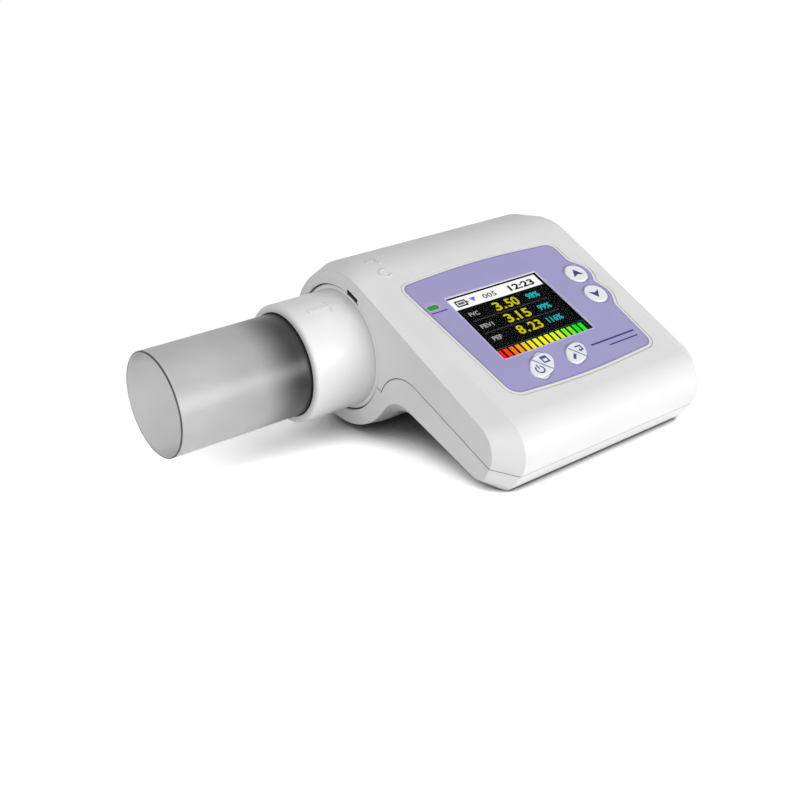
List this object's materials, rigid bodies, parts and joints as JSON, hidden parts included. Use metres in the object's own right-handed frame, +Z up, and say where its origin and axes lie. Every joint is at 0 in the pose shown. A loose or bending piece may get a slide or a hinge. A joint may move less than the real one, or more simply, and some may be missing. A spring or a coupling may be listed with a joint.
{
  "type": "handheld turbine spirometer",
  "caption": "Handheld spirometer: flat body with display and round keys, sloping to a nose, and a round head whose twist-lock turbine carries a pull-off tube mouthpiece.",
  "frame": {"origin": "on the surface that the housing rests on, below the middle of the whole object's box, mouthpiece included", "axes": "+X along the airway from mouthpiece to outlet, +Y from the nose towards the head, +Z up at rest"},
  "size_m": [0.143, 0.097, 0.0496],
  "materials": {
    "case_white": "fine spark-eroded satin ABS",
    "film_violet": "back-printed polycarbonate film",
    "window_clear": "polished acrylic",
    "lcd_dark": "polished",
    "frame_white": "moulded",
    "carrier_grey": "moulded",
    "flex_amber": "polyimide film",
    "board_green": "solder mask",
    "chip_black": "moulded epoxy",
    "key_white": "gloss ABS",
    "switch_steel": "stamped",
    "plunger_black": "moulded",
    "led_green": "clear epoxy",
    "screw_steel": "zinc plated",
    "port_steel": "tinned",
    "cell_wrap": "aluminium laminate pouch",
    "foam_grey": "closed-cell foam",
    "turbine_white": "satin ABS",
    "tube_smoke": "smoked clear polycarbonate",
    "sleeve_black": "moulded",
    "vane_black": "matt film",
    "axle_steel": "ground",
    "bearing_brass": "turned",
    "mouth_frosted": "frosted translucent polypropylene"
  },
  "bodies": {
    "housing": {"upper_case": "case_white", "lower_case": "case_white", "label_overlay": "film_violet", "display_window": "window_clear", "lcd_panel": "lcd_dark", "lcd_backlight": "frame_white", "display_carrier": "carrier_grey", "display_flex": "flex_amber", "main_board": "board_green", "board_chips": "chip_black", "board_screws": "screw_steel", "case_screws": "screw_steel", "switch_bodies": "switch_steel", "status_led": "led_green", "light_pipe": "led_green", "buzzer": "chip_black", "usb_socket": "port_steel", "battery": "cell_wrap", "battery_pad": "foam_grey", "battery_connector": "frame_white", "turbine_socket": "sleeve_black", "emitter_board": "board_green", "receiver_board": "board_green", "ir_emitters": "chip_black", "ir_receivers": "chip_black"},
    "turbine": {"turbine_collar": "turbine_white", "turbine_tube": "tube_smoke", "inlet_swirler": "turbine_white", "outlet_swirler": "turbine_white", "front_bearing": "bearing_brass", "rear_bearing": "bearing_brass"},
    "rotor": {"rotor_vane": "vane_black", "rotor_axle": "axle_steel"},
    "mouthpiece": {"mouthpiece": "mouth_frosted"},
    "power_button": {"power_key": "key_white", "power_plunger": "plunger_black"},
    "menu_button": {"menu_key": "key_white", "menu_plunger": "plunger_black"},
    "up_button": {"up_key": "key_white", "up_plunger": "plunger_black"},
    "down_button": {"down_key": "key_white", "down_plunger": "plunger_black"}
  },
  "joints": [
    {"name": "turbine_lock", "type": "hinge", "parent": "housing", "child": "turbine", "pos_m": [-0.01055, 0.02371, 0.0248], "axis": [1, 0, 0], "range_deg": [-30, 0]},
    {"name": "mouthpiece_pull", "type": "slide", "parent": "turbine", "child": "mouthpiece", "axis": [-1, 0, 0], "range_m": [0, 0.03]},
    {"name": "rotor_spin", "type": "hinge", "parent": "turbine", "child": "rotor", "pos_m": [0.02345, 0.02371, 0.0248], "axis": [1, 0, 0], "continuous": true},
    {"name": "power_press", "type": "slide", "parent": "housing", "child": "power_button", "axis": [0, 0.4196, -0.9077], "range_m": [0, 0.0003], "stiffness_N_per_m": 1000},
    {"name": "menu_press", "type": "slide", "parent": "housing", "child": "menu_button", "axis": [0, 0.4196, -0.9077], "range_m": [0, 0.0003], "stiffness_N_per_m": 1000},
    {"name": "up_press", "type": "slide", "parent": "housing", "child": "up_button", "axis": [0, 0.4196, -0.9077], "range_m": [0, 0.0003], "stiffness_N_per_m": 1000},
    {"name": "down_press", "type": "slide", "parent": "housing", "child": "down_button", "axis": [0, 0.4196, -0.9077], "range_m": [0, 0.0003], "stiffness_N_per_m": 1000}
  ]
}
